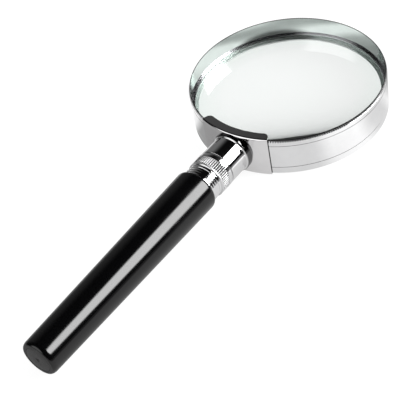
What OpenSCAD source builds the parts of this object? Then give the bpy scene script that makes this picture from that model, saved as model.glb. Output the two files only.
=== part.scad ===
// Reading hand lens: a deep chromed rim with a milled edge holds a double-convex glass, a folded
// saddle plate grips the rim, and a round handle unscrews from the saddle's neck.
// The origin is the middle of the rim on the lens's axis. +Z points out of the lens and the handle
// runs along -Y.
// Distances named ..._at are measured from the lens's axis along the handle.

/* [Rim band] */
// Outside diameter of the band
rim_d = 65; // [52:0.5:80]
// Height of the band
rim_h = 13.4; // [12:0.1:18]
// Thickness of the band's sheet
rim_wall = 0.5; // [0.4:0.05:1]
// Height of the milled chamfer round the top edge
mill_h = 0.9; // [0.4:0.1:1.5]
// How far the milled chamfer leans in
mill_in = 0.3; // [0.1:0.05:0.35]
// Distance of each turned line from its edge of the band
line_drop = 2.4; // [1.8:0.1:3]
// Width of the turned lines
line_w = 0.3; // [0.2:0.05:0.5]
// Depth of the turned lines
line_depth = 0.12; // [0.05:0.01:0.2]

/* [Lens] */
// Thickness of the glass at its edge
lens_edge = 2; // [1.2:0.1:2.6]
// Radius of each polished face
lens_face_r = 170; // [125:5:400]
// Height of the glass's upper corner above the middle of the rim
lens_top_z = -0.4; // [-1:0.1:1]
// Radial gap between the glass and the band
lens_gap = 0.2; // [0.1:0.05:0.5]

/* [Rings that hold the lens] */
// Width of the flat ring that the glass sits on
seat_w = 2; // [1.2:0.1:3]
// Thickness of the flat ring
seat_t = 1; // [0.5:0.1:1.5]
// Thickness of the spring wire above the glass
wire_d = 0.8; // [0.5:0.1:1.2]
// Angle left open between the wire's ends
wire_open = 5; // [2:1:12]

/* [Saddle plate] */
// Angle of the rim that the plate covers
saddle_angle = 44; // [36:1:60]
// Thickness of the plate
plate_t = 0.5; // [0.4:0.05:0.8]
// How far its lips reach in from the band's outside
lip_reach = 2.7; // [2:0.1:3.5]
// Radius of the lips' free corners
lip_corner = 1.7; // [0.5:0.1:1.9]

/* [Neck] */
// Diameter of the neck
neck_d = 12.8; // [11.5:0.1:14]
// Length from the plate to the neck's end
neck_len = 8.9; // [8:0.1:12]
// Diameter of the flange at its root
flange_d = 14; // [13:0.1:16]
// Thickness of the flange
flange_t = 1.3; // [0.8:0.1:2]
// Diameter of the spigot staked into the plate
stake_d = 5; // [3:0.5:8]
// Depth of the threaded bore
neck_bore_len = 7; // [6:0.1:7.5]

/* [Thread] */
// Thread diameter, over its crests
thread_d = 8; // [6:0.5:9]
// Radial running clearance between the stud and the neck
thread_fit = 0.05; // [0.02:0.01:0.08]
// Length of thread inside the neck when it is screwed home
thread_len = 6; // [5:0.5:6]
// Chamfer on the stud's ends
stud_chamfer = 0.6; // [0.3:0.1:1]

/* [Washer] */
// Thickness of the washer between neck and collar
washer_t = 0.3; // [0.2:0.05:0.6]
// How much smaller than the neck the washer is, in diameter
washer_inset = 0.2; // [0:0.1:1]
// Radial gap between the washer and the stud
washer_gap = 0.3; // [0.2:0.05:0.6]
// Gap on each side of the washer
face_gap = 0.1; // [0.05:0.05:0.3]

/* [Knurled collar] */
// Diameter over the teeth
collar_d = 12.95; // [12:0.05:15]
// Length of the collar
collar_len = 5.3; // [4.8:0.1:7]
// Plain length on the neck side of the teeth
collar_plain_neck = 1.6; // [0.5:0.1:1.8]
// Plain length on the handle side of the teeth
collar_plain_handle = 0.7; // [0.5:0.1:1]
// Number of teeth
collar_teeth = 56; // [40:1:90]
// Depth of the teeth
tooth_depth = 0.22; // [0.1:0.02:0.3]
// How far the teeth lie below the collar's plain borders
tooth_relief = 0.03; // [0.02:0.01:0.1]

/* [Ferrule] */
// Diameter at the collar
ferrule_d_neck = 12; // [11:0.1:12.5]
// Diameter at the grip
ferrule_d_grip = 12.6; // [11.5:0.1:13]
// Length in the open
ferrule_len = 4.6; // [4:0.1:6]
// Number of ribs
rib_count = 4; // [2:1:5]
// Pitch of the ribs
rib_pitch = 1; // [0.6:0.05:1]
// Depth of the grooves between the ribs
rib_depth = 0.15; // [0.05:0.01:0.25]
// Diameter of the spigot inside the grip
spigot_d = 10; // [9.5:0.1:10.5]
// Length of the spigot
spigot_len = 9; // [6:0.5:14]

/* [Grip] */
// Diameter at the front
grip_d_front = 14.25; // [13.5:0.05:17]
// Diameter at the butt
grip_d_butt = 11.75; // [11.5:0.05:15]
// Overall length
grip_len = 74.7; // [55:0.1:110]
// Length and depth of the rounded shoulder at the front
shoulder_len = 1.3; // [0.8:0.1:2]
shoulder_in = 0.75; // [0.3:0.05:0.8]
// Length and depth of the rounded edge at the butt
butt_len = 1.6; // [0.8:0.1:2]
butt_in = 0.8; // [0.4:0.05:1]
// Diameter of the hollow between the ferrule's spigot and the butt plug
hollow_d = 7.6; // [5:0.1:7.8]

/* [Butt plug] */
// Diameter of the plug
plug_d = 8.4; // [8:0.1:9]
// Thickness of the plug
plug_t = 3; // [2:0.1:6]
// Diameter of the dimple in its middle
dimple_d = 1.6; // [0.8:0.1:3]
// Depth of the dimple
dimple_depth = 0.5; // [0.2:0.1:1]

/* [Hidden] */
$fn = 96;
eps = 0.01;
edge_break = 0.1;
rim_r = rim_d / 2;
bore_r = rim_r - rim_wall;
half_h = rim_h / 2;
lens_r = bore_r - lens_gap;
// centres of the two spherical faces, above and below the glass
sag = lens_face_r - sqrt(pow(lens_face_r, 2) - pow(lens_r, 2));
upper_centre_z = lens_top_z + sag - lens_face_r;
lower_centre_z = lens_top_z - lens_edge - sag + lens_face_r;
seat_r = bore_r - seat_w;
seat_top_z = lower_centre_z - sqrt(pow(lens_face_r, 2) - pow(seat_r, 2));
wire_ring_r = bore_r - wire_d / 2;
wire_z = upper_centre_z + sqrt(pow(lens_face_r + wire_d / 2, 2) - pow(wire_ring_r, 2));
saddle_r = rim_r + plate_t;
saddle_half_h = half_h + plate_t;
lip_r = rim_r - lip_reach;
neck_end_at = saddle_r + neck_len;
stud_nose_at = neck_end_at - thread_len;
washer_at = neck_end_at + face_gap;
collar_at = washer_at + washer_t + face_gap;
collar_end_at = collar_at + collar_len;
grip_at = collar_end_at + ferrule_len;
grip_end_at = grip_at + grip_len;
spigot_end_at = grip_at + spigot_len;
thread_r = thread_d / 2;

// turns a profile of [radius, distance from the lens's axis] about the handle's axis
module turned(profile) {
  rotate([90, 0, 0]) rotate_extrude() polygon(profile);
}

// a round bar along the handle's axis
module bar(r, from, to) {
  translate([0, -from, 0]) rotate([90, 0, 0]) cylinder(r = r, h = to - from);
}

module rim_band() {
  color("silver") rotate_extrude($fn = 240) polygon([
    [bore_r, -half_h],
    [rim_r - edge_break, -half_h],
    [rim_r, -half_h + edge_break],
    [rim_r, -half_h + line_drop - line_w / 2],
    [rim_r - line_depth, -half_h + line_drop],
    [rim_r, -half_h + line_drop + line_w / 2],
    [rim_r, half_h - line_drop - line_w / 2],
    [rim_r - line_depth, half_h - line_drop],
    [rim_r, half_h - line_drop + line_w / 2],
    [rim_r, half_h - mill_h],
    [rim_r - mill_in, half_h],
    [bore_r, half_h]
  ]);
}

module lens() {
  color("lightcyan", 0.4) rotate_extrude($fn = 240) intersection() {
    translate([0, upper_centre_z]) circle(r = lens_face_r, $fn = 720);
    translate([0, lower_centre_z]) circle(r = lens_face_r, $fn = 720);
    translate([0, -half_h * 2]) square([lens_r, half_h * 4]);
  }
}

module lens_seat_ring() {
  color("gainsboro") translate([0, 0, seat_top_z - seat_t]) rotate_extrude($fn = 240) polygon([
    [seat_r + edge_break, 0], [bore_r, 0], [bore_r, seat_t], [seat_r, seat_t], [seat_r, edge_break]
  ]);
}

module lens_spring_ring() {
  // its opening is under the saddle's lip
  color("darkgray") translate([0, 0, wire_z])
    rotate([0, 0, wire_open / 2 - 90]) rotate_extrude(angle = 360 - wire_open, $fn = 240)
      translate([wire_ring_r, 0]) circle(d = wire_d, $fn = 32);
}

// what is cut away to round a lip's free corner, as a flat outline on the +X side
module corner_cut() {
  half = saddle_angle / 2;
  centre_angle = half - asin(lip_corner / (lip_r + lip_corner));
  mid = (lip_r + lip_corner) * [sin(centre_angle), -cos(centre_angle)];
  // from the direction of the lens's axis round to the plate's end face
  from = 90 + centre_angle;
  to = half;
  steps = 8;
  // the arc starts a little outside the lip, so that it cuts the edge cleanly
  arc_r = lip_corner + 0.02;
  arc = [for (i = [0 : steps]) let (a = from + (to - from) * i / steps) mid + arc_r * [cos(a), sin(a)]];
  polygon(concat(arc, [
    mid + lip_corner * 2 * [cos(to), sin(to)],
    mid + lip_corner * 4 * [cos((from + to) / 2), sin((from + to) / 2)],
    mid + lip_corner * 2 * [cos(from), sin(from)]
  ]));
}

module saddle_plate() {
  steps = 6;
  fold = [for (i = [0 : steps]) plate_t * [sin(90 * i / steps), cos(90 * i / steps)]];
  // the sheet's section: two lips, and a wall between two rounded folds
  section = concat(
    [[lip_r, half_h], [rim_r, half_h], [rim_r, -half_h], [lip_r, -half_h], [lip_r, -saddle_half_h]],
    [for (p = fold) [rim_r + p[0], -half_h - p[1]]],
    [for (i = [steps : -1 : 0]) [rim_r + fold[i][0], half_h + fold[i][1]]],
    [[lip_r, saddle_half_h]]
  );
  color("silver") difference() {
    rotate([0, 0, -90 - saddle_angle / 2]) rotate_extrude(angle = saddle_angle, $fn = 240) polygon(section);
    for (side = [0, 1]) mirror([side, 0, 0]) translate([0, 0, -rim_h]) linear_extrude(rim_h * 2) corner_cut();
    bar(stake_d / 2, lip_r, saddle_r + eps);
  }
}

module neck_tube() {
  flange_end_at = saddle_r + flange_t;
  color("silver") difference() {
    union() {
      // the root is cut to the plate's outside, so it starts inside it
      bar(flange_d / 2, rim_r - plate_t, flange_end_at);
      bar(neck_d / 2, rim_r, neck_end_at - edge_break);
      turned([[0, neck_end_at - edge_break], [neck_d / 2, neck_end_at - edge_break],
              [neck_d / 2 - edge_break, neck_end_at], [0, neck_end_at]]);
    }
    difference() {
      cylinder(r = saddle_r, h = flange_d * 2, center = true, $fn = 240);
      bar(stake_d / 2, rim_r - plate_t, saddle_r + eps);
    }
    cylinder(r = rim_r, h = flange_d * 2, center = true, $fn = 240);
    bar(thread_r + thread_fit, neck_end_at - neck_bore_len, neck_end_at + eps);
  }
}

module neck_washer() {
  washer_end_at = washer_at + washer_t;
  color("gainsboro") difference() {
    bar((neck_d - washer_inset) / 2, washer_at, washer_end_at);
    bar(thread_r + washer_gap, washer_at - eps, washer_end_at + eps);
  }
}

// straight teeth round a ring, as a flat outline
module toothed_outline(d, teeth, depth) {
  step = 360 / teeth;
  polygon([for (i = [0 : teeth - 1], p = [[0, d / 2 - depth], [0.3, d / 2], [0.7, d / 2]])
    p[1] * [cos((i + p[0]) * step), sin((i + p[0]) * step)]]);
}

module knurled_collar() {
  teeth_at = collar_at + collar_plain_neck;
  teeth_end_at = collar_end_at - collar_plain_handle;
  color("silver") difference() {
    union() {
      turned([[0, collar_at], [collar_d / 2 - edge_break, collar_at], [collar_d / 2, collar_at + edge_break],
              [collar_d / 2, teeth_at], [0, teeth_at]]);
      translate([0, -teeth_at, 0]) rotate([90, 0, 0]) linear_extrude(teeth_end_at - teeth_at)
        toothed_outline(collar_d - tooth_relief * 2, collar_teeth, tooth_depth);
      turned([[0, teeth_end_at], [collar_d / 2, teeth_end_at], [collar_d / 2, collar_end_at - edge_break],
              [collar_d / 2 - edge_break, collar_end_at], [0, collar_end_at]]);
    }
    bar(thread_r, collar_at - eps, collar_end_at + eps);
  }
}

module threaded_stud() {
  stud_end_at = spigot_end_at - stud_chamfer;
  color("goldenrod") turned([
    [0, stud_nose_at], [thread_r - stud_chamfer, stud_nose_at], [thread_r, stud_nose_at + stud_chamfer],
    [thread_r, stud_end_at - stud_chamfer], [thread_r - stud_chamfer, stud_end_at], [0, stud_end_at]
  ]);
}

module ferrule() {
  r_neck = ferrule_d_neck / 2;
  r_grip = ferrule_d_grip / 2;
  ribs_at = collar_end_at + (ferrule_len - rib_count * rib_pitch) / 2;
  ribs_end_at = ribs_at + rib_count * rib_pitch;
  // the ribs' crests climb from the neck's diameter to the grip's
  crest = function(at) r_neck + (r_grip - r_neck) * (at - ribs_at) / (ribs_end_at - ribs_at);
  color("silver") difference() {
    turned(concat(
      [[0, collar_end_at], [r_neck, collar_end_at], [r_neck, ribs_at]],
      [for (i = [0 : rib_count - 1], half = [0.5, 1])
        let (at = ribs_at + (i + half) * rib_pitch) [crest(at) - (half < 1 ? rib_depth : 0), at]],
      [[r_grip, grip_at], [spigot_d / 2, grip_at], [spigot_d / 2, spigot_end_at], [0, spigot_end_at]]
    ));
    bar(thread_r, collar_end_at - eps, spigot_end_at + eps);
  }
}

// a quarter of an ellipse from [r - depth, 0] to [r, len], as points
function rounded(r, depth, len, steps = 6) =
  [for (i = [0 : steps]) [r - depth * (1 - sin(90 * i / steps)), len * (1 - cos(90 * i / steps))]];

module handle_grip() {
  front = [for (p = rounded(grip_d_front / 2, shoulder_in, shoulder_len)) [p[0], grip_at + p[1]]];
  butt = [for (p = rounded(grip_d_butt / 2, butt_in, butt_len)) [p[0], grip_end_at - p[1]]];
  color("black") difference() {
    turned(concat([[0, grip_at]], front, [for (i = [len(butt) - 1 : -1 : 0]) butt[i]], [[0, grip_end_at]]));
    bar(spigot_d / 2, grip_at - eps, spigot_end_at);
    bar(hollow_d / 2, spigot_end_at - eps, grip_end_at - plug_t + eps);
    bar(plug_d / 2, grip_end_at - plug_t, grip_end_at + eps);
  }
}

module butt_plug() {
  color("black") difference() {
    bar(plug_d / 2, grip_end_at - plug_t, grip_end_at);
    turned([[0, grip_end_at - dimple_depth], [dimple_d / 2, grip_end_at + eps], [0, grip_end_at + eps]]);
  }
}

rim_band();
lens_seat_ring();
lens();
lens_spring_ring();
saddle_plate();
neck_tube();
neck_washer();
knurled_collar();
threaded_stud();
ferrule();
handle_grip();
butt_plug();
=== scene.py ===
import math

import bmesh
import bpy
from mathutils import Matrix, Vector


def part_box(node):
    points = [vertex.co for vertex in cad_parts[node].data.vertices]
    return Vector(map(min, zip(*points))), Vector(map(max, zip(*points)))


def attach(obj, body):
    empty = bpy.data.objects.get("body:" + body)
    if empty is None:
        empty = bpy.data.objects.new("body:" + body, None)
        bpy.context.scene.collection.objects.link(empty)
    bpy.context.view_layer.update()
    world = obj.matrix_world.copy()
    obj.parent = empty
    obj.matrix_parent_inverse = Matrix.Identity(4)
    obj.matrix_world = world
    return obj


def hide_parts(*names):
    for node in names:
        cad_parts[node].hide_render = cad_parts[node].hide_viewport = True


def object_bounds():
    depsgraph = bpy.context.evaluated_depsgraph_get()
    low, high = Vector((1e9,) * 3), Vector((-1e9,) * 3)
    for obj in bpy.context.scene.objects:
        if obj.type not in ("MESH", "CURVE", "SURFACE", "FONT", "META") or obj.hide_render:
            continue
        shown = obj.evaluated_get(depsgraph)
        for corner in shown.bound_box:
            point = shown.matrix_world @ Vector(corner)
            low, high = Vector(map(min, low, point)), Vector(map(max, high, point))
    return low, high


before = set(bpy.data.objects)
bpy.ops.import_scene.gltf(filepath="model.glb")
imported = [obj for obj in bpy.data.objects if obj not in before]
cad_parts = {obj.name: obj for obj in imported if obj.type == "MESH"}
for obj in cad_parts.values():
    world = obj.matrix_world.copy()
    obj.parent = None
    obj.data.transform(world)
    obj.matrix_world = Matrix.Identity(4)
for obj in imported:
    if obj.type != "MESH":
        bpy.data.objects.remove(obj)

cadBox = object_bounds()
mm = 0.001

# +Z is the lens's axis and the handle runs along -Y, so "along" below is the distance from that axis


def span(node):
    # how far along the handle a turned piece starts and ends, and its largest radius
    low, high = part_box(node)
    return -high[1], -low[1], (high[0] - low[0]) / 2


def report(stage):
    print("hand lens:", stage)


def lensAxis(radius, height, angle):
    return Vector((radius * math.cos(angle), radius * math.sin(angle), height))


def handleAxis(radius, along, angle):
    return Vector((radius * math.cos(angle), -along, radius * math.sin(angle)))


def directionOf(azimuth, elevation):
    # azimuth 0 is -Y and 90 is +X, in degrees
    a, e = math.radians(azimuth), math.radians(elevation)
    return Vector((math.cos(e) * math.sin(a), -math.cos(e) * math.cos(a), math.sin(e)))


def softened(points, closed=True, steps=4):
    # rounds each corner given as (radius, height, rounding) with a short arc
    outline = []
    count = len(points)
    for i, point in enumerate(points):
        here = Vector(point[:2])
        rounding = point[2] if len(point) > 2 else 0
        if rounding == 0 or (not closed and i in (0, count - 1)):
            outline.append(tuple(here))
            continue
        before = (Vector(points[i - 1][:2]) - here).normalized()
        after = (Vector(points[(i + 1) % count][:2]) - here).normalized()
        half = before.angle(after) / 2
        setBack = rounding / math.tan(half)
        start, end = here + before * setBack, here + after * setBack
        centre = here + (before + after).normalized() * (rounding / math.sin(half))
        fromAngle = math.atan2(start.y - centre.y, start.x - centre.x)
        turn = math.atan2(end.y - centre.y, end.x - centre.x) - fromAngle
        turn = (turn + math.pi) % (2 * math.pi) - math.pi
        for k in range(steps + 1):
            a = fromAngle + turn * k / steps
            outline.append((centre.x + rounding * math.cos(a), centre.y + rounding * math.sin(a)))
    return outline


def squareRing(inner, outer, start, end, edge):
    corners = ((inner, start), (outer, start), (outer, end), (inner, end))
    return softened([(radius, along, edge) for radius, along in corners])


def finishMesh(name, bm, material, sharpAngle=32):
    bmesh.ops.remove_doubles(bm, verts=bm.verts, dist=1e-8)
    bmesh.ops.recalc_face_normals(bm, faces=bm.faces)
    mesh = bpy.data.meshes.new(name)
    bm.to_mesh(mesh)
    bm.free()
    return addPiece(name, mesh, material, sharpAngle)


def addPiece(name, mesh, material, sharpAngle=32):
    mesh.shade_smooth()
    mesh.set_sharp_from_angle(angle=math.radians(sharpAngle))
    mesh.materials.clear()
    mesh.materials.append(material)
    piece = bpy.data.objects.new(name, mesh)
    bpy.context.scene.collection.objects.link(piece)
    return piece


def turnedMesh(outline, columns, place, wave=None):
    # turns a closed outline, or one that starts and ends on the axis, into a solid
    bm = bmesh.new()
    rings = []
    for radius, height in outline:
        if radius < 1e-7:
            rings.append([bm.verts.new(place(0, height, 0))] * columns)
            continue
        ring = []
        for k in range(columns):
            angle = 2 * math.pi * k / columns
            r = radius + (wave(radius, height, angle) if wave else 0)
            ring.append(bm.verts.new(place(r, height, angle)))
        rings.append(ring)
    onAxis = outline[0][0] < 1e-7
    pairs = list(zip(rings, rings[1:])) if onAxis else list(zip(rings, rings[1:] + rings[:1]))
    for low, high in pairs:
        for k in range(columns):
            corners = [low[k], low[(k + 1) % columns], high[(k + 1) % columns], high[k]]
            unique = list(dict.fromkeys(corners))
            if len(unique) > 2:
                bm.faces.new(unique)
    return bm


def turned(name, outline, material, place=handleAxis, columns=128, wave=None, sharpAngle=32):
    return finishMesh(name, turnedMesh(outline, columns, place, wave), material, sharpAngle)


def link(tree, source, target):
    tree.links.new(source, target)


def mathNode(tree, operation, first, second=None):
    node = tree.nodes.new("ShaderNodeMath")
    node.operation = operation
    for i, value in enumerate((first, second)):
        if value is None:
            continue
        if isinstance(value, (int, float)):
            node.inputs[i].default_value = value
        else:
            link(tree, value, node.inputs[i])
    return node.outputs[0]


def rangeNode(tree, value, low, high, toLow, toHigh, smooth=False):
    node = tree.nodes.new("ShaderNodeMapRange")
    node.interpolation_type = "SMOOTHSTEP" if smooth else "LINEAR"
    link(tree, value, node.inputs["Value"])
    for name, number in (("From Min", low), ("From Max", high), ("To Min", toLow), ("To Max", toHigh)):
        if isinstance(number, (int, float)):
            node.inputs[name].default_value = number
        else:
            link(tree, number, node.inputs[name])
    return node.outputs["Result"]


def noiseNode(tree, vector, scale, detail=3.0, roughness=0.55):
    node = tree.nodes.new("ShaderNodeTexNoise")
    node.inputs["Scale"].default_value = scale
    node.inputs["Detail"].default_value = detail
    node.inputs["Roughness"].default_value = roughness
    link(tree, vector, node.inputs["Vector"])
    return node.outputs["Fac"]


def mixColour(tree, factor, first, second):
    node = tree.nodes.new("ShaderNodeMix")
    node.data_type = "RGBA"
    link(tree, factor, node.inputs["Factor"])
    for name, value in (("A", first), ("B", second)):
        socket = next(s for s in node.inputs if s.name == name and s.type == "RGBA")
        if isinstance(value, tuple):
            socket.default_value = (*value, 1)
        else:
            link(tree, value, socket)
    return next(s for s in node.outputs if s.type == "RGBA")


def scaleNode(tree, vector, factor):
    node = tree.nodes.new("ShaderNodeVectorMath")
    node.operation = "SCALE"
    link(tree, vector, node.inputs[0])
    link(tree, factor, node.inputs["Scale"])
    return node.outputs["Vector"]


def dotNode(tree, vector, direction):
    node = tree.nodes.new("ShaderNodeVectorMath")
    node.operation = "DOT_PRODUCT"
    link(tree, vector, node.inputs[0])
    node.inputs[1].default_value = direction
    return node.outputs["Value"]


def lengthNode(tree, first, second):
    # distance from the origin in the plane of two coordinates
    flat = tree.nodes.new("ShaderNodeCombineXYZ")
    link(tree, first, flat.inputs["X"])
    link(tree, second, flat.inputs["Y"])
    length = tree.nodes.new("ShaderNodeVectorMath")
    length.operation = "LENGTH"
    link(tree, flat.outputs[0], length.inputs[0])
    return length.outputs["Value"]


def azimuthNode(tree, apart):
    # angle round the lens's axis, 0 along the handle
    return mathNode(tree, "ARCTAN2", apart["X"], mathNode(tree, "MULTIPLY", apart["Y"], -1.0))


def largest(tree, values):
    total = values[0]
    for value in values[1:]:
        total = mathNode(tree, "MAXIMUM", total, value)
    return total


def newGroup(name, inputs, outputs):
    group = bpy.data.node_groups.new(name, "ShaderNodeTree")
    for label, kind, value in inputs:
        socket = group.interface.new_socket(name=label, in_out="INPUT", socket_type=kind)
        if value is not None:
            socket.default_value = value
    for label, kind in outputs:
        group.interface.new_socket(name=label, in_out="OUTPUT", socket_type=kind)
    start = group.nodes.new("NodeGroupInput")
    end = group.nodes.new("NodeGroupOutput")
    return group, start.outputs, end.inputs


def buildHandlingMarks():
    # faint smears and finger marks where the lens is held
    tree, given, out = newGroup(
        "handlingMarks",
        [
            ("Vector", "NodeSocketVector", None),
            ("Size", "NodeSocketFloat", 90.0),
            ("Cover", "NodeSocketFloat", 0.4),
        ],
        [("Smear", "NodeSocketFloat"), ("Cloud", "NodeSocketFloat")],
    )
    sized = scaleNode(tree, given["Vector"], given["Size"])
    broad = noiseNode(tree, sized, 1.0, 4.0, 0.6)
    fine = noiseNode(tree, sized, 7.0, 5.0, 0.7)
    edge = mathNode(tree, "SUBTRACT", 0.95, given["Cover"])
    top = mathNode(tree, "ADD", edge, 0.22)
    patch = rangeNode(tree, broad, edge, top, 0.0, 1.0, True)
    link(tree, mathNode(tree, "MULTIPLY", patch, fine), out["Smear"])
    link(tree, broad, out["Cloud"])
    return tree


def buildTurningLines():
    # very fine marks that run round a turned or polished surface
    tree, given, out = newGroup(
        "turningLines",
        [
            ("Along", "NodeSocketFloat", 0.0),
            ("Round", "NodeSocketVector", None),
            ("LinesPerMetre", "NodeSocketFloat", 9000.0),
        ],
        [("Height", "NodeSocketFloat")],
    )
    scaled = mathNode(tree, "MULTIPLY", given["Along"], given["LinesPerMetre"])
    drift = noiseNode(tree, given["Round"], 60.0, 2.0)
    joined = tree.nodes.new("ShaderNodeCombineXYZ")
    link(tree, scaled, joined.inputs["X"])
    link(tree, drift, joined.inputs["Y"])
    link(tree, noiseNode(tree, joined.outputs[0], 1.0, 4.0, 0.6), out["Height"])
    return tree


def buildFineScratches():
    # hairline scratches in three directions, on metal and gloss black alike
    tree, given, out = newGroup(
        "fineScratches",
        [("Vector", "NodeSocketVector", None), ("Scale", "NodeSocketFloat", 1.0)],
        [("Scratch", "NodeSocketFloat")],
    )
    lines = []
    for turn in (0.35, -0.9, 1.7):
        mapping = tree.nodes.new("ShaderNodeMapping")
        mapping.inputs["Rotation"].default_value = (turn * 0.7, turn, turn * 1.3)
        mapping.inputs["Scale"].default_value = (40.0, 1400.0, 60.0)
        link(tree, given["Vector"], mapping.inputs["Vector"])
        scaled = scaleNode(tree, mapping.outputs["Vector"], given["Scale"])
        lines.append(rangeNode(tree, noiseNode(tree, scaled, 1.0, 2.0), 0.68, 0.76, 0.0, 1.0))
    link(tree, largest(tree, lines), out["Scratch"])
    return tree


handlingMarks = buildHandlingMarks()
turningLines = buildTurningLines()
fineScratches = buildFineScratches()
report("wear patterns")


def useGroup(tree, group, values):
    node = tree.nodes.new("ShaderNodeGroup")
    node.node_tree = group
    for name, value in values.items():
        if isinstance(value, (int, float)):
            node.inputs[name].default_value = value
        else:
            link(tree, value, node.inputs[name])
    return node.outputs


def newMaterial(name):
    material = bpy.data.materials.new(name)
    material.use_nodes = True
    tree = material.node_tree
    shader = next(n for n in tree.nodes if n.type == "BSDF_PRINCIPLED")
    coords = tree.nodes.new("ShaderNodeTexCoord").outputs["Object"]
    apart = tree.nodes.new("ShaderNodeSeparateXYZ")
    link(tree, coords, apart.inputs[0])
    return material, tree, shader, coords, apart.outputs


def bump(tree, shader, height, strength, distance):
    node = tree.nodes.new("ShaderNodeBump")
    node.inputs["Strength"].default_value = strength
    node.inputs["Distance"].default_value = distance
    link(tree, height, node.inputs["Height"])
    link(tree, node.outputs["Normal"], shader.inputs["Normal"])


metalWear = {
    "chrome": (0.86, 0.86, 0.865),
    "worked": (0.84, 0.84, 0.845),
    "shade": 0.93,  # how dark the uneven tone gets
    # the colour of the painted shade in seams and hollows
    "shadeColour": (0.02, 0.02, 0.02),
    "markSize": 75.0,
    "markCover": 0.42,
    "scratchRoughness": 0.05,
    "lineHeight": 0.01 * mm,
}


def platedMetal(
    name, colour, roughness, lines, along="Y", dulled=0.10, lineStrength=0.06, paintedShade=None, haze=None
):
    # a little uneven in tone, smeared by fingers, with hairlines and fine marks across the "along" axis, and
    # with painted shade where a mask is given
    material, tree, shader, coords, apart = newMaterial(name)
    where = {"Vector": coords, "Size": metalWear["markSize"], "Cover": metalWear["markCover"]}
    marks = useGroup(tree, handlingMarks, where)
    scratches = useGroup(tree, fineScratches, {"Vector": coords, "Scale": 1.0})["Scratch"]
    cutBy = {"Along": apart[along], "Round": coords, "LinesPerMetre": lines}
    around = useGroup(tree, turningLines, cutBy)["Height"]
    tone = rangeNode(tree, marks["Cloud"], 0.3, 0.7, 0.0, 1.0, True)
    darker = tuple(c * metalWear["shade"] for c in colour)
    plate = mixColour(tree, tone, darker, colour)
    # painted shade: the mask darkens the plating where shade falls
    if paintedShade:
        plate = mixColour(tree, paintedShade(tree, apart), plate, metalWear["shadeColour"])
    link(tree, plate, shader.inputs["Base Color"])
    worn = mathNode(tree, "ADD", mathNode(tree, "MULTIPLY", marks["Smear"], dulled), roughness)
    hairlines = mathNode(tree, "MULTIPLY", scratches, metalWear["scratchRoughness"])
    rough = mathNode(tree, "ADD", worn, hairlines)
    if haze:
        rough = mathNode(tree, "ADD", rough, haze(tree, apart))
    link(tree, rough, shader.inputs["Roughness"])
    shader.inputs["Metallic"].default_value = 1.0
    height = mathNode(tree, "SUBTRACT", around, mathNode(tree, "MULTIPLY", scratches, 0.5))
    bump(tree, shader, height, lineStrength, metalWear["lineHeight"])
    return material


blackWear = {
    "lighter": 1.8,
    "markSize": 55.0,
    "markCover": 0.46,
    "smearRoughness": 0.10,
    "scratchRoughness": 0.07,
    "peelHeight": 0.04 * mm,
}


def blackLacquer(name, colour, roughness, grain=0.0):
    # gloss black with orange peel under the shine, hairlines and finger smears
    material, tree, shader, coords, _ = newMaterial(name)
    where = {"Vector": coords, "Size": blackWear["markSize"], "Cover": blackWear["markCover"]}
    marks = useGroup(tree, handlingMarks, where)
    scratches = useGroup(tree, fineScratches, {"Vector": coords, "Scale": 0.8})["Scratch"]
    lighter = tuple(c * blackWear["lighter"] for c in colour)
    link(tree, mixColour(tree, marks["Cloud"], colour, lighter), shader.inputs["Base Color"])
    smear = mathNode(tree, "MULTIPLY", marks["Smear"], blackWear["smearRoughness"])
    hairlines = mathNode(tree, "MULTIPLY", scratches, blackWear["scratchRoughness"])
    scuffed = mathNode(tree, "ADD", smear, hairlines)
    link(tree, mathNode(tree, "ADD", scuffed, roughness), shader.inputs["Roughness"])
    peel = noiseNode(tree, coords, 420.0, 2.0)
    pores = noiseNode(tree, coords, 2600.0, 2.0)
    height = mathNode(tree, "ADD", peel, mathNode(tree, "MULTIPLY", pores, grain))
    bump(tree, shader, height, 0.05, blackWear["peelHeight"])
    shader.inputs["IOR"].default_value = 1.5
    shader.inputs["Coat Weight"].default_value = 0.0
    return material


def buildRingOfTeeth():
    # turns one tooth's slice into a whole ring about Z and welds the seams
    tree = bpy.data.node_groups.new("ringOfTeeth", "GeometryNodeTree")
    tree.interface.new_socket(name="Slice", in_out="INPUT", socket_type="NodeSocketGeometry")
    for label, kind, value in (("Teeth", "NodeSocketInt", 56), ("Weld", "NodeSocketFloat", 0.002 * mm)):
        tree.interface.new_socket(name=label, in_out="INPUT", socket_type=kind).default_value = value
    tree.interface.new_socket(name="Finish", in_out="INPUT", socket_type="NodeSocketMaterial")
    tree.interface.new_socket(name="Ring", in_out="OUTPUT", socket_type="NodeSocketGeometry")
    given = tree.nodes.new("NodeGroupInput").outputs
    points = tree.nodes.new("GeometryNodePoints")
    link(tree, given["Teeth"], points.inputs["Count"])
    step = mathNode(tree, "DIVIDE", 2 * math.pi, given["Teeth"])
    turn = mathNode(tree, "MULTIPLY", tree.nodes.new("GeometryNodeInputIndex").outputs[0], step)
    rotation = tree.nodes.new("ShaderNodeCombineXYZ")
    link(tree, turn, rotation.inputs["Z"])
    place = tree.nodes.new("GeometryNodeInstanceOnPoints")
    link(tree, points.outputs[0], place.inputs["Points"])
    link(tree, given["Slice"], place.inputs["Instance"])
    link(tree, rotation.outputs[0], place.inputs["Rotation"])
    realise = tree.nodes.new("GeometryNodeRealizeInstances")
    link(tree, place.outputs[0], realise.inputs[0])
    weld = tree.nodes.new("GeometryNodeMergeByDistance")
    link(tree, realise.outputs[0], weld.inputs["Geometry"])
    link(tree, given["Weld"], weld.inputs["Distance"])
    paint = tree.nodes.new("GeometryNodeSetMaterial")
    link(tree, weld.outputs[0], paint.inputs["Geometry"])
    link(tree, given["Finish"], paint.inputs["Material"])
    end = tree.nodes.new("NodeGroupOutput")
    link(tree, paint.outputs[0], end.inputs["Ring"])
    return tree


ringOfTeeth = buildRingOfTeeth()


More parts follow.
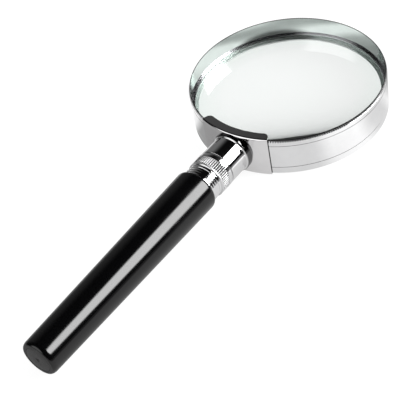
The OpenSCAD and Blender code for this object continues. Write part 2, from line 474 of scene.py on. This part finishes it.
def toothedRing(name, outline, teeth, shape, depths, material, weld=0.002 * mm):
    # outline is closed, of (radius, height), and shape is one tooth's, of (share of pitch, share of depth);
    # depths says how deep the teeth are cut at the outline's points, by their number
    bm = bmesh.new()
    columns = []
    for share, cut in shape + [(1.0, shape[0][1])]:
        angle = 2 * math.pi * share / teeth
        rows = []
        for i, (radius, height) in enumerate(outline):
            rows.append(bm.verts.new(lensAxis(radius - depths.get(i, 0) * cut, height, angle)))
        columns.append(rows)
    for left, right in zip(columns, columns[1:]):
        for i in range(len(outline)):
            j = (i + 1) % len(outline)
            bm.faces.new([left[i], right[i], right[j], left[j]])
    mesh = bpy.data.meshes.new(name + "Slice")
    bm.to_mesh(mesh)
    bm.free()
    maker = bpy.data.objects.new(name + "Slice", mesh)
    bpy.context.scene.collection.objects.link(maker)
    modifier = maker.modifiers.new("teeth", "NODES")
    modifier.node_group = ringOfTeeth
    values = {"Teeth": teeth, "Weld": weld, "Finish": material}
    for item in ringOfTeeth.interface.items_tree:
        if item.in_out == "INPUT" and item.name in values:
            modifier[item.identifier] = values[item.name]
    evaluated = maker.evaluated_get(bpy.context.evaluated_depsgraph_get())
    ring = bpy.data.meshes.new_from_object(evaluated)
    bpy.data.objects.remove(maker)
    bm = bmesh.new()
    bm.from_mesh(ring)
    bmesh.ops.recalc_face_normals(bm, faces=bm.faces)
    bm.to_mesh(ring)
    bm.free()
    ring.name = name
    return ring


# the saddle's sizes stand here because the rim's painted shade follows the saddle's ends
saddle = {
    "sheet": 0.5 * mm,
    "innerFold": 0.06 * mm,
    "lipReach": 2.7 * mm,  # in from the rim's outside
    "corner": 1.7 * mm,
    "angle": math.radians(44),
    "columns": 64,
    "arcSteps": 8,
    "wallSteps": 6,
}
rim = {
    "wall": 0.5 * mm,
    "millHeight": 0.9 * mm,
    "millIn": 0.3 * mm,
    "teeth": 265,
    "toothDepth": 0.2 * mm,
    "lineDrop": 2.4 * mm,  # from each edge to its turned line
    "lineWidth": 0.26 * mm,
    "lineDepth": 0.05 * mm,
    "edgeRound": 0.07 * mm,
    "edgeFlat": 0.4 * mm,
    "seamGap": 0.0984 * mm,  # from the saddle's end to the middle of the dark line
    "seamHalf": 0.1105 * mm,
    "seamFade": 0.156 * mm,
    "shadeStart": 0.05 * mm,  # below the milled slope's crests
    "shadeEnd": 0.14 * mm,
    "topShade": 0.2 * mm,
    "topFade": 0.04 * mm,
    "hazeStart": 0.15 * mm,
    "hazeEnd": 0.05 * mm,
}


def rimSizes():
    _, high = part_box("rim_band")
    return high[0] - rim["wall"], high[0], high[2]


def rimPaintedShade(tree, apart):
    # painted shade: dark lines along both ends of the saddle plate, between the milled teeth and round the
    # upper edge
    inner, outer, half = rimSizes()
    millFoot = half - rim["millHeight"]
    turn = mathNode(tree, "ABSOLUTE", azimuthNode(tree, apart))
    seamAt = saddle["angle"] / 2 + rim["seamGap"] / outer
    off = mathNode(tree, "ABSOLUTE", mathNode(tree, "SUBTRACT", turn, seamAt))
    seam = rangeNode(tree, off, rim["seamFade"] / outer, rim["seamHalf"] / outer, 0.0, 0.9, True)
    radius = lengthNode(tree, apart["X"], apart["Y"])
    aboveFoot = mathNode(tree, "SUBTRACT", apart["Z"], millFoot)
    lean = mathNode(tree, "MULTIPLY", aboveFoot, rim["millIn"] / rim["millHeight"])
    upright = mathNode(tree, "ADD", radius, lean)
    groove = rangeNode(tree, upright, outer - rim["shadeStart"], outer - rim["shadeEnd"], 0.0, 0.92)
    above = rangeNode(tree, apart["Z"], millFoot - 0.05 * mm, millFoot + 0.1 * mm, 0.0, 1.0)
    outside = rangeNode(tree, radius, inner + 0.01 * mm, inner + 0.03 * mm, 0.0, 1.0)
    groove = mathNode(tree, "MULTIPLY", mathNode(tree, "MULTIPLY", groove, above), outside)
    low, high = half - rim["topShade"] - rim["topFade"], half - rim["topShade"] + rim["topFade"]
    top = rangeNode(tree, apart["Z"], low, high, 0.0, 0.88)
    return largest(tree, [seam, groove, top])


def wallHaze(tree, apart):
    # the inside of the rim is less well polished than its outside
    inner = rimSizes()[0]
    radius = lengthNode(tree, apart["X"], apart["Y"])
    return rangeNode(tree, radius, inner + rim["hazeStart"], inner + rim["hazeEnd"], 0.0, 0.07)


def makeRimBand():
    inner, outer, half = rimSizes()
    chrome = platedMetal(
        "bandChrome", metalWear["chrome"], roughness=0.035, lines=5200.0, along="Z", dulled=0.08,
        paintedShade=rimPaintedShade, haze=wallHaze,
    )
    soft, flat = rim["edgeRound"], rim["edgeFlat"]
    outline = [(inner, 0)]
    outline += softened(
        [(inner, flat - half), (inner, -half, soft), (outer, -half, soft), (outer, flat - half)], closed=False
    )
    for side in (-1, 1):
        middle = side * (half - rim["lineDrop"])
        outline.append((outer, middle - rim["lineWidth"] / 2))
        outline.append((outer - rim["lineDepth"], middle - rim["lineWidth"] / 8))
        outline.append((outer - rim["lineDepth"], middle + rim["lineWidth"] / 8))
        outline.append((outer, middle + rim["lineWidth"] / 2))
    # the milled slope from its foot up, as shares of its height, of its lean and of the teeth's depth
    millFoot = half - rim["millHeight"]
    depths = {}
    slope = ((-0.0667, 0, 0), (0, 0, 0.45), (0.1778, 0.1, 1), (0.8222, 0.7333, 1), (1, 1, 0.75))
    for up, inward, cut in slope:
        depths[len(outline)] = cut * rim["toothDepth"]
        outline.append((outer - inward * rim["millIn"], millFoot + up * rim["millHeight"]))
    outline += [(inner + soft, half), (inner + soft * 0.3, half - soft * 0.3)]
    outline += [(inner, half - soft), (inner, half - flat)]
    shape = [(0.0, 1.0), (0.34, 1.0), (0.46, 0.0), (0.88, 0.0)]
    ring = toothedRing("rimBand", outline, rim["teeth"], shape, depths, chrome)
    piece = addPiece("rimBand", ring, chrome, sharpAngle=22)
    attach(piece, "head")
    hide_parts("rim_band")


makeRimBand()
report("rim")


glass = {
    "faceRadius": 170 * mm,  # both faces are the same
    "arris": 0.12 * mm,
    "rings": 40,
    "index": 1.52,
    "groundRoughness": 0.32,
    "filmRoughness": 0.015,
    "middleTint": (0.985, 0.995, 0.99),
    "edgeTint": (0.93, 0.975, 0.95),
    "tintStart": 20 * mm,
    "clearTint": (0.92, 0.96, 0.94),
    # the painted shade in the glass's border, as the far wall mirrors it
    "borderShadeColour": (0.05, 0.05, 0.05),
    "borderAzimuth": 222,  # degrees
    "borderStart": 27.6 * mm,
    "borderEnd": 29.8 * mm,
}
seat = {
    "width": 2.0 * mm,
    "edge": 0.12 * mm,
}


def opticalGlass(name, radius):
    # polished faces with a ground edge, a faint film of dust and a green cast
    material, tree, shader, coords, apart = newMaterial(name)
    off = lengthNode(tree, apart["X"], apart["Y"])
    groundStart, groundEnd = radius - glass["arris"], radius - glass["arris"] / 2
    ground = rangeNode(tree, off, groundStart, groundEnd, 0.0, glass["groundRoughness"])
    marks = useGroup(tree, handlingMarks, {"Vector": coords, "Size": 60.0, "Cover": 0.38})
    film = mathNode(tree, "MULTIPLY", marks["Smear"], glass["filmRoughness"])
    link(tree, mathNode(tree, "ADD", ground, film), shader.inputs["Roughness"])
    tint = rangeNode(tree, off, glass["tintStart"], radius, 0.0, 1.0, True)
    link(tree, mixColour(tree, tint, glass["middleTint"], glass["edgeTint"]), shader.inputs["Base Color"])
    shader.inputs["Transmission Weight"].default_value = 1.0
    shader.inputs["IOR"].default_value = glass["index"]
    shader.inputs["Metallic"].default_value = 0.0
    bump(tree, shader, marks["Cloud"], 0.01, 0.01 * mm)
    # light and mirrored rays pass straight through, and the glass's border gets painted shade that is seen
    # only in the far wall's mirror
    clear = tree.nodes.new("ShaderNodeBsdfTransparent")
    rays = tree.nodes.new("ShaderNodeLightPath").outputs
    away = dotNode(tree, coords, directionOf(glass["borderAzimuth"], 0))
    border = rangeNode(tree, away, glass["borderStart"], glass["borderEnd"], 0.0, 0.8, True)
    border = mathNode(tree, "MULTIPLY", border, rays["Is Reflection Ray"])
    link(tree, mixColour(tree, border, glass["clearTint"], glass["borderShadeColour"]), clear.inputs["Color"])
    straight = largest(tree, [rays["Is Shadow Ray"], rays["Is Diffuse Ray"], rays["Is Reflection Ray"]])
    mix = tree.nodes.new("ShaderNodeMixShader")
    surface = next(n for n in tree.nodes if n.type == "OUTPUT_MATERIAL")
    link(tree, straight, mix.inputs["Fac"])
    link(tree, shader.outputs[0], mix.inputs[1])
    link(tree, clear.outputs[0], mix.inputs[2])
    link(tree, mix.outputs[0], surface.inputs["Surface"])
    return material


def makeLens():
    low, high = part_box("lens")
    radius, crown, base = high[0], high[2], low[2]
    outline = []
    for top in (False, True):
        centre = crown - glass["faceRadius"] if top else base + glass["faceRadius"]
        sign = 1 if top else -1
        polished = radius - glass["arris"]
        stations = [polished * k / glass["rings"] for k in range(glass["rings"] + 1)]
        face = [(r, centre + sign * math.sqrt(glass["faceRadius"] ** 2 - r * r)) for r in stations]
        if top:
            outline.append((radius, face[-1][1] - glass["arris"]))
            outline += face[::-1]
        else:
            outline += face
            outline.append((radius, face[-1][1] + glass["arris"]))
    piece = turned("lensGlass", outline, opticalGlass("opticalGlass", radius), lensAxis, columns=256)
    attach(piece, "head")
    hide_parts("lens")


def makeSeatRing():
    low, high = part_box("lens_seat_ring")
    metal = platedMetal(
        "seatMetal", (0.86, 0.865, 0.87), roughness=0.6, lines=4200.0, along="Z", dulled=0.12,
        lineStrength=0.2,
    )
    outline = squareRing(high[0] - seat["width"], high[0], low[2], high[2], seat["edge"])
    piece = turned("lensSeatRing", outline, metal, lensAxis, columns=256)
    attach(piece, "head")
    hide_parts("lens_seat_ring")


spring = {
    "open": math.radians(5),
    "endRound": 0.2 * mm,
    "sides": 20,
    "stations": 300,
}


def makeSpringRing():
    low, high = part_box("lens_spring_ring")
    wire = (high[2] - low[2]) / 2
    middle = (high[2] + low[2]) / 2
    centre = high[0] - wire
    bm = bmesh.new()
    rings = []
    for k in range(spring["stations"] + 1):
        share = k / spring["stations"]
        angle = -math.pi / 2 + spring["open"] / 2 + (2 * math.pi - spring["open"]) * share
        fromEnd = min(share, 1 - share) * 2 * math.pi * centre
        girth = wire * min(1.0, 0.8 + 0.2 * fromEnd / spring["endRound"])
        ring = []
        for s in range(spring["sides"]):
            a = 2 * math.pi * s / spring["sides"]
            radius, height = centre + girth * math.cos(a), middle + girth * math.sin(a)
            ring.append(bm.verts.new(lensAxis(radius, height, angle)))
        rings.append(ring)
    for left, right in zip(rings, rings[1:]):
        for s in range(spring["sides"]):
            t = (s + 1) % spring["sides"]
            bm.faces.new([left[s], right[s], right[t], left[t]])
    bm.faces.new(rings[0])
    bm.faces.new(rings[-1][::-1])
    steel = platedMetal(
        "springSteel", (0.50, 0.51, 0.52), roughness=0.22, lines=9000.0, along="Z", lineStrength=0.15
    )
    piece = finishMesh("lensSpringRing", bm, steel, sharpAngle=50)
    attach(piece, "head")
    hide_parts("lens_spring_ring")


makeLens()
makeSeatRing()
makeSpringRing()
report("glass, seat and spring ring")


def makeSaddle():
    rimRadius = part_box("rim_band")[1][0]
    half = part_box("saddle_plate")[1][2] - saddle["sheet"]
    lip = rimRadius - saddle["lipReach"]
    fold = saddle["innerFold"]
    corner = saddle["corner"]
    steps, wallSteps = saddle["arcSteps"], saddle["wallSteps"]
    # the sheet's inner face, from one lip's free edge round to the other's, each point with its way outwards
    upper = []
    for k in range(steps + 1):
        r = lip + corner * (1 - math.cos(math.pi / 2 * k / steps))
        upper.append((r, half, 0, 1))
    upper.append(((lip + corner + rimRadius) / 2, half, 0, 1))
    for k in range(steps + 1):
        a = math.pi / 2 * (1 - k / steps)
        c, s = math.cos(a), math.sin(a)
        upper.append((rimRadius - fold + fold * c, half - fold + fold * s, c, s))
    wall = [(rimRadius, half * (1 - k / wallSteps), 1, 0) for k in range(1, wallSteps)]
    section = upper + wall + [(r, -z, nr, -nz) for r, z, nr, nz in wall[::-1][1:] + upper[::-1]]
    middleRadius = lip + corner
    cornerAngle = saddle["angle"] / 2 - math.asin(corner / middleRadius)

    def reach(r):
        if r >= middleRadius:
            return saddle["angle"] / 2
        cosine = (middleRadius ** 2 + r * r - corner ** 2) / (2 * middleRadius * r)
        return cornerAngle + math.acos(max(-1.0, min(1.0, cosine)))

    bm = bmesh.new()
    faces = ([], [])
    for side in (0, 1):
        for r, z, nr, nz in section:
            row = []
            for k in range(saddle["columns"] + 1):
                a = reach(r) * (2 * k / saddle["columns"] - 1)
                radius = r + nr * saddle["sheet"] * side
                height = z + nz * saddle["sheet"] * side
                row.append(bm.verts.new((radius * math.sin(a), -radius * math.cos(a), height)))
            faces[side].append(row)
    inner, outer = faces
    for rows in faces:
        for low, high in zip(rows, rows[1:]):
            for k in range(saddle["columns"]):
                bm.faces.new([low[k], low[k + 1], high[k + 1], high[k]])
    for k in range(saddle["columns"]):
        for i in (0, -1):
            bm.faces.new([inner[i][k], inner[i][k + 1], outer[i][k + 1], outer[i][k]])
    for i in range(len(section) - 1):
        for k in (0, -1):
            bm.faces.new([inner[i][k], inner[i + 1][k], outer[i + 1][k], outer[i][k]])
    chrome = platedMetal("saddleChrome", (0.84, 0.83, 0.835), roughness=0.05, lines=3800.0, along="X")
    piece = finishMesh("saddlePlate", bm, chrome, sharpAngle=40)
    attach(piece, "head")
    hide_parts("saddle_plate")


makeSaddle()
report("saddle")


thread = {
    "pitch": 1.0 * mm,
    "depth": 0.5 * mm,
    "clearance": 0.05 * mm,
    "fade": 0.4 * mm,
    "stepsPerTurn": 10,
}
neck = {
    "flangeRadius": 7.0 * mm,
    "flangeEnd": 1.3 * mm,
    "plainStart": 2.1 * mm,
    "tubeRadius": 6.4 * mm,
    "bore": 7.0 * mm,  # depth of the tapped hole
    "edge": 0.12 * mm,
    "rootGap": 0.004 * mm,  # clear of the saddle's face
}
stud = {
    "chamfer": 0.6 * mm,
    "plainFront": 0.3 * mm,
    "plainBack": 3.0 * mm,
}
washer = {
    "clearance": 0.3 * mm,
    "edge": 0.07 * mm,
}


def saddleRadius():
    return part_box("rim_band")[1][0] + saddle["sheet"]


def rootPaintedShade(tree, apart):
    # painted shade round the neck's root, fading out along the neck
    flangeEnd = saddleRadius() + neck["flangeEnd"]
    return rangeNode(tree, apart["Y"], -flangeEnd - 0.2 * mm, -flangeEnd + 0.2 * mm, 0.0, 0.85, True)


def threadWave(sign, start, end):
    # a right-hand V thread between two stations, fading out at its ends
    def wave(radius, along, angle):
        if along < start or along > end:
            return 0
        fade = min(1.0, (along - start) / thread["fade"], (end - along) / thread["fade"])
        turn = (along / thread["pitch"] + angle / (2 * math.pi)) % 1.0
        return sign * thread["depth"] * fade * (1 - abs(2 * turn - 1))
    return wave


def threadStations(start, end):
    count = round((end - start) / thread["pitch"] * thread["stepsPerTurn"])
    return [start + (end - start) * k / count for k in range(count + 1)]


def makeNeck():
    _, end, _ = span("neck_tube")
    root = saddleRadius()
    studRadius = span("threaded_stud")[2]
    bore = studRadius + thread["clearance"]
    depth = end - neck["bore"]
    edge = neck["edge"]
    flangeEnd = root + neck["flangeEnd"]
    plainStart = root + neck["plainStart"]
    outline = [(share * neck["flangeRadius"], root) for share in (0, 0.3, 0.6, 0.85, 1)]
    shell = [
        (neck["flangeRadius"], root + 0.3 * mm),
        (neck["flangeRadius"], flangeEnd - 0.35 * mm, 0.25 * mm),
        (neck["tubeRadius"] + 0.45 * mm, flangeEnd, 0.15 * mm),
        (neck["tubeRadius"], flangeEnd + 0.2 * mm, 0.1 * mm),
        (neck["tubeRadius"], plainStart),
        (neck["tubeRadius"], end - 1.0 * mm),
        (neck["tubeRadius"], end, edge),
        (bore + 0.15 * mm, end),
    ]
    outline += softened(shell, closed=False)
    outline += [(bore, along) for along in threadStations(depth, end - 0.15 * mm)[::-1]]
    outline += [(bore * 0.98, depth - 0.05 * mm), (0, depth - 1.0 * mm)]
    grooves = threadWave(1, depth + 0.2 * mm, end - 0.1 * mm)

    def wave(radius, along, angle):
        return grooves(radius, along, angle) * 0.8 if abs(radius - bore) < 1e-6 else 0

    bm = turnedMesh(outline, 128, handleAxis, wave)
    for vert in bm.verts:
        # the root is hollowed to sit on the saddle's round face
        if -vert.co.y <= root + 1e-6:
            vert.co.y = -math.sqrt((root + neck["rootGap"]) ** 2 - vert.co.x ** 2)
    chrome = platedMetal("neckChrome", metalWear["chrome"], roughness=0.04, lines=6500.0, paintedShade=rootPaintedShade)
    piece = finishMesh("neckTube", bm, chrome)
    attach(piece, "head")
    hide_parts("neck_tube")


def makeStud():
    start, end, radius = span("threaded_stud")
    chamfer = stud["chamfer"]
    outline = [(0, start), (radius - chamfer, start)]
    outline += [(radius, along) for along in threadStations(start + chamfer, end - chamfer)]
    outline += [(radius - chamfer, end), (0, end)]
    grooves = threadWave(-1, start + stud["plainFront"], end - stud["plainBack"])

    def wave(r, along, angle):
        return grooves(r, along, angle) if abs(r - radius) < 1e-6 else 0

    steel = platedMetal(
        "studSteel", (0.56, 0.56, 0.57), roughness=0.20, lines=8000.0, dulled=0.15, lineStrength=0.15
    )
    piece = turned("threadedStud", outline, steel, columns=72, wave=wave)
    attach(piece, "handle")
    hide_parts("threaded_stud")


def makeWasher():
    start, end, radius = span("neck_washer")
    hole = span("threaded_stud")[2] + washer["clearance"]
    steel = platedMetal(
        "washerSteel", (0.60, 0.60, 0.61), roughness=0.16, lines=4000.0, along="X", lineStrength=0.12
    )
    piece = turned("neckWasher", squareRing(hole, radius, start, end, washer["edge"]), steel)
    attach(piece, "washer")
    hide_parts("neck_washer")


makeNeck()
makeStud()
makeWasher()
report("neck, stud and washer")


collar = {
    "teeth": 56,
    "toothDepth": 0.3 * mm,
    "neckBorder": 1.6 * mm,
    "handleBorder": 0.7 * mm,
    "relief": 0.03 * mm,  # the teeth's crests lie this far under the borders
    "runOut": 0.12 * mm,  # how far a tooth fades at each end
    "edge": 0.15 * mm,
    "toothPoints": 12,
    "haze": 0.42,
    "cleanBorder": 0.2 * mm,  # the bright strip left at the handle's end
    "shadeStart": 0.075 * mm,  # below the crests
    "shadeEnd": 0.175 * mm,
}


def knurlBand(tree, apart):
    # 1 on the teeth and on most of the border towards the handle
    start, end, _ = span("knurled_collar")
    first, last = start + collar["neckBorder"], end - collar["cleanBorder"]
    soft = 0.05 * mm
    past = rangeNode(tree, apart["Y"], -last - soft, -last + soft, 0.0, 1.0)
    before = rangeNode(tree, apart["Y"], -first, -first + 2 * soft, 0.0, 1.0)
    return mathNode(tree, "SUBTRACT", past, before)


def knurlHaze(tree, apart):
    # handling has worn the teeth matt
    return mathNode(tree, "MULTIPLY", knurlBand(tree, apart), collar["haze"])


def knurlPaintedShade(tree, apart):
    # painted shade between the collar's teeth, with the crests a little darker too
    crest = span("knurled_collar")[2] - collar["relief"]
    radius = lengthNode(tree, apart["X"], apart["Z"])
    recessShade = rangeNode(tree, radius, crest - collar["shadeStart"], crest - collar["shadeEnd"], 0.18, 0.98, True)
    return mathNode(tree, "MULTIPLY", knurlBand(tree, apart), recessShade)


def makeCollar():
    start, end, radius = span("knurled_collar")
    hole = span("threaded_stud")[2]
    edge, runOut = collar["edge"], collar["runOut"]
    crest = radius - collar["relief"]
    teethStart, teethEnd = start + collar["neckBorder"], end - collar["handleBorder"]
    outline = softened([(hole, start), (radius, start, edge), (radius, teethStart - runOut)], closed=False)
    depths = {}
    for along, cut in ((teethStart, 0.3), (teethStart + runOut, 1), (teethEnd - runOut, 1), (teethEnd, 0.3)):
        depths[len(outline)] = cut * collar["toothDepth"]
        outline.append((crest, along))
    outline += softened([(radius, teethEnd + runOut), (radius, end, edge), (hole, end)], closed=False)
    points = collar["toothPoints"]
    shape = [(k / points, 0.5 + 0.5 * math.cos(2 * math.pi * k / points)) for k in range(points)]
    chrome = platedMetal(
        "collarChrome", metalWear["worked"], roughness=0.10, lines=6500.0, paintedShade=knurlPaintedShade, haze=knurlHaze
    )
    ring = toothedRing("knurledCollar", outline, collar["teeth"], shape, depths, chrome)
    # the ring is made about Z, then laid along the handle
    ring.transform(Matrix.Rotation(math.pi / 2, 4, "X"))
    piece = addPiece("knurledCollar", ring, chrome, sharpAngle=60)
    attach(piece, "handle")
    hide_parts("knurled_collar")


ferrule = {
    "neckRadius": 6.0 * mm,
    "ribs": 4,
    "ribPitch": 1.0 * mm,
    "ribDepth": 0.15 * mm,
    "spigotRadius": 5.0 * mm,  # inside the grip
}


def makeFerrule():
    start, end, radius = span("ferrule")
    gripStart = span("handle_grip")[0]
    hole = span("threaded_stud")[2]
    length = gripStart - start
    ribStart = start + (length - ferrule["ribs"] * ferrule["ribPitch"]) / 2
    ribEnd = ribStart + ferrule["ribs"] * ferrule["ribPitch"]
    points = [(hole, start), (ferrule["neckRadius"], start), (ferrule["neckRadius"], ribStart, 0.05 * mm)]
    for i in range(ferrule["ribs"]):
        for half in (0.5, 1):
            along = ribStart + (i + half) * ferrule["ribPitch"]
            share = (along - ribStart) / (ribEnd - ribStart)
            crest = ferrule["neckRadius"] + (radius - ferrule["neckRadius"]) * share
            depth = ferrule["ribDepth"] if half < 1 else 0
            points.append((crest - depth, along, 0.08 * mm))
    points += [(radius, gripStart, 0.06 * mm), (ferrule["spigotRadius"], gripStart)]
    points += [(ferrule["spigotRadius"], end, 0.1 * mm), (hole, end)]
    chrome = platedMetal("ferruleChrome", metalWear["chrome"], roughness=0.045, lines=6500.0)
    piece = turned("ribbedFerrule", softened(points, steps=3), chrome)
    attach(piece, "handle")
    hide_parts("ferrule")


makeCollar()
makeFerrule()
report("collar and ferrule")


grip = {
    "buttRadius": 5.875 * mm,
    "shoulderLength": 1.3 * mm,
    "shoulderDepth": 0.75 * mm,
    "buttLength": 1.6 * mm,
    "buttDepth": 0.8 * mm,
    "hollowRadius": 3.8 * mm,
    "arcSteps": 12,
    "rings": 24,
}


def makeGrip():
    start, end, radius = span("handle_grip")
    spigotEnd = span("ferrule")[1]
    plugStart, _, plugRadius = span("butt_plug")
    outline = [(ferrule["spigotRadius"], start)]
    for k in range(grip["arcSteps"] + 1):
        a = math.pi / 2 * k / grip["arcSteps"]
        outline.append((
            radius - grip["shoulderDepth"] * (1 - math.sin(a)),
            start + grip["shoulderLength"] * (1 - math.cos(a)),
        ))
    first, last = start + grip["shoulderLength"], end - grip["buttLength"]
    for k in range(1, grip["rings"]):
        share = k / grip["rings"]
        outline.append((radius + (grip["buttRadius"] - radius) * share, first + (last - first) * share))
    for k in range(grip["arcSteps"] + 1):
        a = math.pi / 2 * (1 - k / grip["arcSteps"])
        outline.append((
            grip["buttRadius"] - grip["buttDepth"] * (1 - math.sin(a)),
            end - grip["buttLength"] * (1 - math.cos(a)),
        ))
    outline += [
        (plugRadius + 0.06 * mm, end),
        (plugRadius + 0.02 * mm, end - 0.08 * mm),
        (plugRadius + 0.01 * mm, plugStart),
        (grip["hollowRadius"], plugStart),
        (grip["hollowRadius"], spigotEnd),
        (ferrule["spigotRadius"], spigotEnd),
    ]
    black = blackLacquer("gripBlack", (0.0008, 0.0008, 0.0009), roughness=0.11)
    piece = turned("handleGrip", outline, black, columns=160, sharpAngle=30)
    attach(piece, "handle")
    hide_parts("handle_grip")


plug = {
    "edge": 0.12 * mm,
    "dimpleRadius": 0.8 * mm,
    "dimpleDepth": 0.5 * mm,
}


def makePlug():
    start, end, radius = span("butt_plug")
    edge = plug["edge"]
    outline = softened([
        (0, start), (radius, start, edge), (radius, end, edge), (plug["dimpleRadius"], end, 0.1 * mm),
        (0, end - plug["dimpleDepth"]),
    ], closed=False)
    black = blackLacquer("plugBlack", (0.0120, 0.0118, 0.0120), roughness=0.22, grain=0.6)
    piece = turned("buttPlug", outline, black)
    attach(piece, "handle")
    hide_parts("butt_plug")


makeGrip()
makePlug()
report("grip and plug")


# angles are in degrees, and the camera's place is in metres from the middle of the lens
camera = {
    "azimuth": 44.19,
    "elevation": 42.83,
    "roll": -12.32,
    "distance": 0.36692,
    "right": -0.029354,
    "up": -0.036019,
    "focal": 99.69,  # mm, on a sensor 36 mm wide
}


def makeCamera():
    towards = directionOf(camera["azimuth"], camera["elevation"])
    flatRight = (-towards).cross(Vector((0, 0, 1))).normalized()
    flatUp = flatRight.cross(-towards)
    roll = math.radians(camera["roll"])
    c, s = math.cos(roll), math.sin(roll)
    right = flatRight * c + flatUp * s
    up = flatUp * c - flatRight * s
    data = bpy.data.cameras.new("camera")
    data.sensor_width = 36
    data.lens = camera["focal"]
    data.clip_start = 0.01
    item = bpy.data.objects.new("camera", data)
    place = towards * camera["distance"] + right * camera["right"] + up * camera["up"]
    item.matrix_world = Matrix((
        (right.x, up.x, towards.x, place.x),
        (right.y, up.y, towards.y, place.y),
        (right.z, up.z, towards.z, place.z),
        (0, 0, 0, 1),
    ))
    bpy.context.scene.collection.objects.link(item)
    bpy.context.scene.camera = item


# what the bright parts mirror: each light has a direction, an inner and outer half-angle, and a strength
studio = {
    "key": {"towards": (129.2, 33.6), "inner": 16, "outer": 23, "strength": 13.0},
    "front": {"towards": (-20, 30), "inner": 22, "outer": 36, "strength": 1.5},
    "left": {"towards": (-122, 14), "inner": 10, "outer": 44, "strength": 0.15},
    "dark": 0.004,  # the room between the lights
    "ambient": 1.0,
    "floorSize": 3.0,
    "floorGap": 0.02 * mm,
    "floorGlow": 0.9,  # as the camera sees it
    "floorAlbedo": 0.12,
    "floorReach": (45 * mm, 75 * mm),
    # painted light and shade on the table, seen only in mirrored rays: how bright the table looks in the
    # plate, by its direction from the lens: (azimuth, brightness)
    "floorPaintedLight": (
        (-180, 0.3), (-168, 0.4), (-160, 0.9), (-150, 0.95), (-144, 0.33), (-139, 0.28), (-134, 0.4),
        (-129, 0.9), (-112, 0.92), (-104, 0.8), (-96, 0.6), (-88, 0.25), (-76, 0.5), (-62, 0.95),
        (-51, 0.85), (-42, 0.27), (0, 0.2), (7, 0.56), (50, 0.6), (62, 0.9), (84, 0.98), (98, 0.66),
        (112, 0.6), (122, 0.8), (136, 0.35), (150, 0.22), (170, 0.25),
    ),
}


def makeWorld():
    world = bpy.data.worlds.new("studio")
    bpy.context.scene.world = world
    world.use_nodes = True
    tree = world.node_tree
    background = next(n for n in tree.nodes if n.type == "BACKGROUND")
    background.inputs["Color"].default_value = (1, 1, 1, 1)
    direction = tree.nodes.new("ShaderNodeTexCoord").outputs["Generated"]
    total = studio["dark"]
    for name in ("key", "front", "left"):
        light = studio[name]
        angle = mathNode(tree, "ARCCOSINE", dotNode(tree, direction, directionOf(*light["towards"])))
        inner, outer = math.radians(light["inner"]), math.radians(light["outer"])
        glow = rangeNode(tree, angle, outer, inner, 0.0, light["strength"], True)
        total = mathNode(tree, "ADD", glow, total)
    # only what is mirrored or refracted meets the lights, and the rest has an even glow
    rays = tree.nodes.new("ShaderNodeLightPath").outputs
    bounced = mathNode(tree, "MINIMUM", rays["Diffuse Depth"], 1.0)
    plain = mathNode(tree, "MAXIMUM", bounced, rays["Is Camera Ray"])
    strength = tree.nodes.new("ShaderNodeMix")
    link(tree, plain, strength.inputs["Factor"])
    link(tree, total, strength.inputs["A"])
    strength.inputs["B"].default_value = studio["ambient"]
    link(tree, strength.outputs[0], background.inputs["Strength"])


def makeFloor():
    height = cadBox[0][2] - studio["floorGap"]
    size = studio["floorSize"]
    mesh = bpy.data.meshes.new("floor")
    corners = [(-size, -size, height), (size, -size, height), (size, size, height), (-size, size, height)]
    mesh.from_pydata(corners, [], [(0, 1, 2, 3)])
    material, tree, shader, _, apart = newMaterial("paleFloor")
    # painted light and shade, seen only in mirrored rays: in the plate, the table darkens away from the
    # handle's line and from the rim
    near, far = studio["floorReach"]
    off = lengthNode(tree, apart["X"], mathNode(tree, "MAXIMUM", apart["Y"], 0.0))
    reach = rangeNode(tree, off, near, far, 1.0, 0.02, True)
    around = tree.nodes.new("ShaderNodeValToRGB")
    link(tree, rangeNode(tree, azimuthNode(tree, apart), -math.pi, math.pi, 0.0, 1.0), around.inputs["Fac"])
    stops = around.color_ramp.elements
    for k, (azimuth, brightness) in enumerate(studio["floorPaintedLight"]):
        stop = stops[k] if k < len(stops) else stops.new(1.0)
        stop.position = (azimuth + 180) / 360
        stop.color = (brightness, brightness, brightness, 1)
    seen = mathNode(tree, "MULTIPLY", around.outputs["Color"], reach)
    rays = tree.nodes.new("ShaderNodeLightPath").outputs
    glow = tree.nodes.new("ShaderNodeMix")
    link(tree, rays["Is Reflection Ray"], glow.inputs["Factor"])
    glow.inputs["A"].default_value = studio["floorGlow"]
    link(tree, seen, glow.inputs["B"])
    shader.inputs["Base Color"].default_value = (studio["floorAlbedo"],) * 3 + (1,)
    shader.inputs["Roughness"].default_value = 1.0
    shader.inputs["Specular IOR Level"].default_value = 0.0
    shader.inputs["Emission Color"].default_value = (1, 1, 1, 1)
    link(tree, glow.outputs[0], shader.inputs["Emission Strength"])
    mesh.materials.append(material)
    item = bpy.data.objects.new("floor", mesh)
    bpy.context.scene.collection.objects.link(item)


makeCamera()
makeWorld()
makeFloor()
bpy.context.scene.view_settings.view_transform = "Standard"
report("studio")
